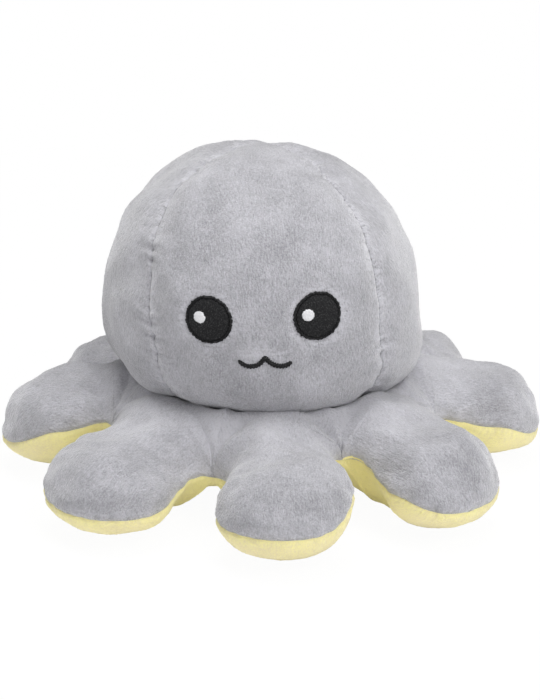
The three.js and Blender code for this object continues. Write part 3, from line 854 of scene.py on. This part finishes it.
def sector(number, cloth):
    """One arm and its eighth of the skirt as a grid from the neck to the tip, with its distances from the
    seam and from its neighbours. Each row is half an ellipse across, y = w sin(a) and z = h cos(a), and
    behind a web a soft valley. The tip maps a square on half a disc: x = r sin(b) sqrt(1 - sin(a)^2 / 2)
    and y = r sin(a) sqrt(1 - sin(b)^2 / 2)."""
    turn, tip, end_radius, end_length, left_seam, right_seam, tip_seam = ARMS[number]
    webs = WEBS[number - 1], WEBS[number]
    inner = cloth["line"][0][0]
    step = cloth["step"]
    halves = math.radians((turn - webs[0][0]) % 360), math.radians((webs[1][0] - turn) % 360)
    line_end = tip - end_length
    count = int(STATION_LENGTH / step)
    sides = [side_stations(*side, inner, count, line_end, end_radius) for side in zip(halves, webs)]
    share = np.linspace(-1, 1, 2 * int(HALF_WIDTH / step) + 1)[None, :]
    to_right = smooth_step(share, -1, 1)

    def blended(left, right):
        return left * (1 - to_right) + right * to_right

    out = blended(sides[0][0][:, None], sides[1][0][:, None])
    chosen = [np.where(share < 0, left[:, None], right[:, None]) for left, right in zip(*sides)]
    _, width, inside, beyond, border = chosen
    angle = share * np.pi / 2
    ease = cloth["ease"] * (1 - np.abs(share))
    eased = inside**3 / (inside**2 + ease**2 + TINY)
    pillow = np.exp(-eased / PILLOW_REACH)
    across = width * ((1 - pillow) * share + pillow * np.sin(angle))
    roundness = 1 - smooth_step(border, inner, cloth["round_to"])
    direction = share * np.where(share < 0, halves[0], halves[1])
    out = out + (border * np.cos(direction) - out) * roundness
    across = across + (border * np.sin(direction) - across) * roundness
    beside = np.abs(share) ** BESIDE_SHARPNESS * np.exp(-beyond / BESIDE_REACH)
    radial = out + (np.hypot(out, across) - out) * np.maximum(roundness, beside)
    seam = blended(webs[0][3], webs[1][3])
    seam = seam + (blended(left_seam, right_seam) - seam) * smooth_step(out, SEAM_CHANGE, line_end)
    tight = cloth["tightness"] * blended(webs[0][4], webs[1][4])
    tight = tight * (1 - smooth_step(out, TIGHT_CHANGE, line_end))
    bulge = np.cos(angle) ** (cloth["fullness"] + tight)
    opening = 1 - np.sqrt(1 - np.exp(-eased / cloth["valley"]))
    opening = opening * smooth_step(border, *cloth["valley_start"])
    flank = (np.hypot(np.sin(angle), KEEL) - KEEL) / (math.hypot(1, KEEL) - KEEL)
    spread = (1 - pillow) * flank + pillow * (1 - bulge)
    middle = np.interp(radial, *np.array(cloth["line"]).T)
    middle = middle + cloth["rises"][number] * smooth_step(out, *RISE_CHANGE) * (1 - beside)
    height = middle + (seam - middle) * opening * spread
    lift = np.linspace(0, np.pi / 2, int(TIP_LENGTH / step) + 1)[1:, None]
    tip_out = line_end + end_length * np.sin(lift) * np.sqrt(1 - np.sin(angle) ** 2 / 2)
    tip_across = end_radius * np.sin(angle) * np.sqrt(1 - np.sin(lift) ** 2 / 2)
    end_seam = seam[-1:] + (tip_seam - seam[-1:]) * smooth_step(tip_out, line_end, tip)
    tip_height = end_seam + (middle[-1:] - end_seam) * (np.cos(angle) * np.cos(lift)) ** cloth["fullness"]
    rows = [np.stack([out, across, height], axis=-1), np.stack([tip_out, tip_across, tip_height], axis=-1)]
    inside = np.vstack([inside, 0 * tip_out])
    beyond = np.vstack([beyond, FAR + 0 * tip_out])
    if cloth["up"] < 0:
        throat = throat_rows(direction[0], height[0], inner, step)
        rows.insert(0, throat)
        inside = np.vstack([inside[0] + inner - np.hypot(throat[..., 0], throat[..., 1]), inside])
        beyond = np.vstack([0 * throat[..., 0], beyond])
    grid = np.concatenate(rows)
    along, sideways = surface_lengths(grid)
    to_side = np.minimum(sideways - sideways[:, :1], sideways[:, -1:] - sideways)
    from_seam = np.minimum(np.hypot(to_side, inside), along[-1:] - along)
    from_border = np.hypot(to_side, beyond)
    return turned(grid, turn), from_seam, from_border


def turned(grid, degrees):
    """Points given as out, across and height, turned about the middle to an arm's place."""
    angle = math.radians(degrees)
    x = grid[..., 0] * math.sin(angle) + grid[..., 1] * math.cos(angle)
    y = grid[..., 1] * math.sin(angle) - grid[..., 0] * math.cos(angle)
    return np.stack([x, y, grid[..., 2]], axis=-1)


def web_folds(grid):
    """Depth of the creases that run in from the webs: round hills of the distance from short lines."""
    depth = np.zeros(grid.shape[:2])
    rng = np.random.default_rng(FOLD_SEED)
    for turn, reach, _, _, _ in WEBS:
        start = turned(np.array([reach - FOLD_START, 0, 0]), turn)[:2]
        for side in (-1, 1):
            spread = math.radians(side * FOLD_SPREAD * rng.uniform(*FOLD_SPREADS))
            inward = -turned(np.array([math.cos(spread), math.sin(spread), 0]), turn)[:2]
            away = grid[..., :2] - start
            along = away @ inward
            aside = np.abs(away[..., 0] * inward[1] - away[..., 1] * inward[0])
            window = smooth_step(along, *FOLD_RISE) * (1 - smooth_step(along, *FOLD_FALL))
            depth += rng.uniform(*FOLD_DEPTHS) * hump(aside, *FOLD) * window
    return depth


def shaped_sector(number, cloth):
    """A sector with its stuffing's lumps, its edge seam and the ripples of the stitches, with its normals,
    its distance from the seam, and how free of its neighbours it is."""
    base, from_seam, from_border = sector(number, cloth)
    normals = normals_of(base) * cloth["up"]
    normals[-CORNER:, :CORNER] = normals[-CORNER - 1, CORNER]
    normals[-CORNER:, -CORNER:] = normals[-CORNER - 1, -CORNER - 1]
    free = smooth_step(from_border, 0, FREE_START)
    out = np.zeros(base.shape[:2])
    for index, (height, length) in enumerate(ARM_LUMPS):
        out = out + height * wave_noise(base, length, ARM_LUMP_SEED + index) * cloth["lumps"]
    out = out * smooth_step(from_seam, 0, ARM_LUMP_START)
    ripple = wave_noise(base * np.array([1, 1, 0]), EDGE_RIPPLE_LENGTH, EDGE_RIPPLE_SEED)
    out = out + ripple * hump(from_seam, *EDGE_RIPPLES)
    out = (out - hump(from_seam, *EDGE_NOTCH)) * free
    if cloth["up"] > 0:
        out = out - web_folds(base)
    return base + normals * out[..., None], normals, from_seam, free


def skirt_piece(name, number, cloth, slot, hidden):
    """Makes one sector with the material of its slot, in place of the solids it hides."""
    skin, normals, from_seam, free = shaped_sector(number, cloth)
    rng = np.random.default_rng(ARM_PILE_SEED + number)
    pile = rng.normal(0, PILE_HEIGHT, skin.shape[:2]) * smooth_step(from_seam, *ARM_PILE_START) * free
    skin = skin + normals * pile[..., None]
    parting = hump(from_seam, *EDGE_PARTING) * free
    reach = np.hypot(skin[..., 0], skin[..., 1])
    # Painted shade and light in the colour, from near the middle to far out, and a painted shadow along the
    # edge seam.
    near, far = cloth["painted_shades"]
    shade = near + (far - near) * smooth_step(reach, *cloth["painted_shade_reach"])
    shade = shade + hump(from_seam, *cloth["painted_edge_shadow"])
    skin, marks = tucked(skin, normals, EDGE_ALLOWANCE, parting=parting, shade=shade)
    made = cloth_object(name, skin, marks, inside_out=cloth["up"] < 0, flat_edges=True)
    made.data.materials.append(materials[slot])
    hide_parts(*hidden)
    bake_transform(made)


for number in range(len(ARMS)):
    hidden = [f"arm_{number + 1}_top", f"arm_{number + 1}_filling"]
    hidden += ["skirt_top_centre", "skirt_filling"] if number == 0 else []
    skirt_piece(f"grey_arm_{number + 1}", number, TOP_CLOTH, "grey_velour", hidden)

# The skirt and its arms, underside: one sheet of yellow velour, the colour of the inner head.
# The toy stands on it. It turns up to the edge seam, and rises inside to the throat of the pocket.
YELLOW = (0.91, 0.836, 0.40)
# The darkest tone, of brushed pile and of painted shade, as shares of its colour.
YELLOW_DARKEST = (0.945, 0.91, 1.15)
YELLOW_PALEST = 1.1
YELLOW_SHEEN = 0.3
UNDERSIDE = [(44.0, 3.2), (50.0, 1.6), (56.0, 0.7), (62.0, 0.4), (70.0, 0.6), (80.0, 1.2)]
UNDER_CLOTH = {
    "line": UNDERSIDE,
    "up": -1,
    "step": 0.8,
    "rises": [0.0] * len(ARMS),
    "valley": 50.0,
    "valley_start": (0.0, 1.0),
    "ease": 0.0,
    "fullness": 1.05,
    "tightness": 1.0,
    "round_to": 58.0,
    "lumps": 0.4,
    # painted light near the middle, where the webs lie in shade, and painted shade far out at the tips
    "painted_shades": (-0.4, 0.12),
    "painted_shade_reach": (62.0, 94.0),
    "painted_edge_shadow": (1.0, 0.0),
}
THROAT_RADIUS = 28.7
THROAT_HEIGHT = 31.0
THROAT_LENGTH = 34.0  # mm, which sets the number of rows


def throat_rows(direction, foot_height, foot_radius, step):
    """The rows that rise from the ring on which the toy stands to the throat: a quarter of an ellipse."""
    turn = np.linspace(0, np.pi / 2, int(THROAT_LENGTH / step))[:-1, None]
    radius = foot_radius - (foot_radius - THROAT_RADIUS) * np.cos(turn)
    height = THROAT_HEIGHT * (1 - np.sin(turn)) + foot_height * np.sin(turn) ** 3
    height = height + 0 * direction
    return np.stack([radius * np.cos(direction), radius * np.sin(direction), height], axis=-1)


velour("yellow_velour", YELLOW, YELLOW_DARKEST, YELLOW_PALEST, YELLOW_SHEEN)
for number in range(len(ARMS)):
    hidden = [f"arm_{number + 1}_bottom"]
    hidden += ["skirt_bottom_centre"] if number == 0 else []
    skirt_piece(f"yellow_arm_{number + 1}", number, UNDER_CLOTH, "yellow_velour", hidden)

# The inner head, turned in as a pocket: four smaller yellow gores, seen from below through the throat.
# Its own face, two eyes and a turned-down mouth, is on the front one.
LINING_SIZES = (32.9, 52.0, 34.4, 44.4, 2.0, 2.0)  # in the order of profile_table
LINING_STEP = 1.0
LINING_SEAMS = {"front": (-45, 45), "right": (45, 135), "back": (135, 225), "left": (225, 315)}
LINING_RIDGE = (1.5, 0.7)  # width and height of a seam
LINING_RIDGE_START = (0.05, 0.3)  # shares of the way down to the waist
LINING_LUMPS = (0.35, 15.0)
LINING_LUMP_START = (0.1, 0.4)
LINING_LUMP_REACH = 5.0  # mm from a seam, where they are full
LINING_LUMP_SEED = 71
LINING_PARTING = (3.0, 0.6)
INNER_EYES = {"left": (-12.9, 62.0), "right": (9.1, 62.0)}
INNER_EYE_RADIUS = 5.0
INNER_EYE_SEED = 50
FROWN = [(-6.8, 51.5), (-4.6, 53.6), (-1.3, 54.5), (2.0, 53.6), (4.2, 51.5)]
FROWN_WIDTH = 1.4

LINING = profile_table(*LINING_SIZES, THROAT_RADIUS)


def lining_gore(turns):
    """The pocket side of one yellow gore: a round body without a tilt, with its seams as low ridges."""
    seams = [(turn, 0.0, 0.0) for turn in turns]
    grid, from_left, from_right, down = gore_base(seams, LINING, LINING_STEP)
    nearest = np.minimum(from_left, from_right)
    latitude = down / LINING[2]
    normals = normals_of(grid)
    normals[0] = (0, 0, 1)
    lumps = LINING_LUMPS[0] * wave_noise(grid, LINING_LUMPS[1], LINING_LUMP_SEED)
    out = lumps * smooth_step(nearest, 0, LINING_LUMP_REACH) * smooth_step(latitude, *LINING_LUMP_START)
    out = out + hump(nearest, *LINING_RIDGE) * smooth_step(latitude, *LINING_RIDGE_START)
    return grid + normals * out[..., None], nearest


for name, turns in LINING_SEAMS.items():
    cloth, nearest = lining_gore(turns)
    if name == "front":
        pocket_face = cloth[:, ::-1]  # read the other way round, because its face is inside
    marks = {"parting": hump(nearest, *LINING_PARTING)}
    gore = cloth_object("inner_gore_" + name, cloth, marks, pole=True, inside_out=True)
    on_body(gore, "yellow_velour", "inner_head_panel_" + name)

sizes = (INNER_EYE_RADIUS, INNER_EYE_RADIUS)
for number, (side, middle) in enumerate(INNER_EYES.items()):
    eye = stitched_disc("stitched_inner_eye_" + side, pocket_face, middle, sizes, eye_profile,
                        INNER_EYE_SEED + number, sides=120, rings=30, inside_out=True)
    on_body(eye, "black_thread", "inner_eye_" + side)
frown = cloth_object("stitched_inner_mouth", stitched_line(pocket_face, FROWN, FROWN_WIDTH))
on_body(frown, "black_thread", "inner_mouth")

# The neck: a ring of doubled thread that sews both heads to the skirt, round and round the throat.
STITCH_RING = 32.1  # mm, middle of the ring
STITCH_HEIGHT = 30.4
STITCH_HALF = (1.5, 0.6)  # half its width and half its thickness
RING_PITCH = 1.6
RING_THIN = 0.18  # how much thinner it is between two stitches
RING_SLANT = 0.5
RING_GRID = (1400, 17)  # points round the neck and across the ring
THREAD_GREY = (0.30, 0.30, 0.32)
GREY_SPECK = 0.05


def stitch_ring():
    """A ring with a slanting ridge for each stitch: an ellipse swept round, thinner between stitches."""
    turn = np.linspace(0, 2 * np.pi, RING_GRID[0])[:, None]
    angle = np.linspace(0, 2 * np.pi, RING_GRID[1])[None, :]
    count = round(2 * math.pi * STITCH_RING / RING_PITCH)
    ridge = np.abs(np.sin(count * turn / 2 + RING_SLANT * np.cos(angle)))
    thick = 1 - RING_THIN + RING_THIN * ridge
    radius = STITCH_RING + STITCH_HALF[0] * thick * np.cos(angle)
    height = STITCH_HEIGHT + STITCH_HALF[1] * thick * np.sin(angle)
    return np.stack([radius * np.sin(turn), -radius * np.cos(turn), height], axis=-1)


ring = cloth_object("neck_stitches", stitch_ring())
thread("grey_thread", THREAD_GREY, GREY_SPECK)
on_body(ring, "grey_thread", "neck_stitching")
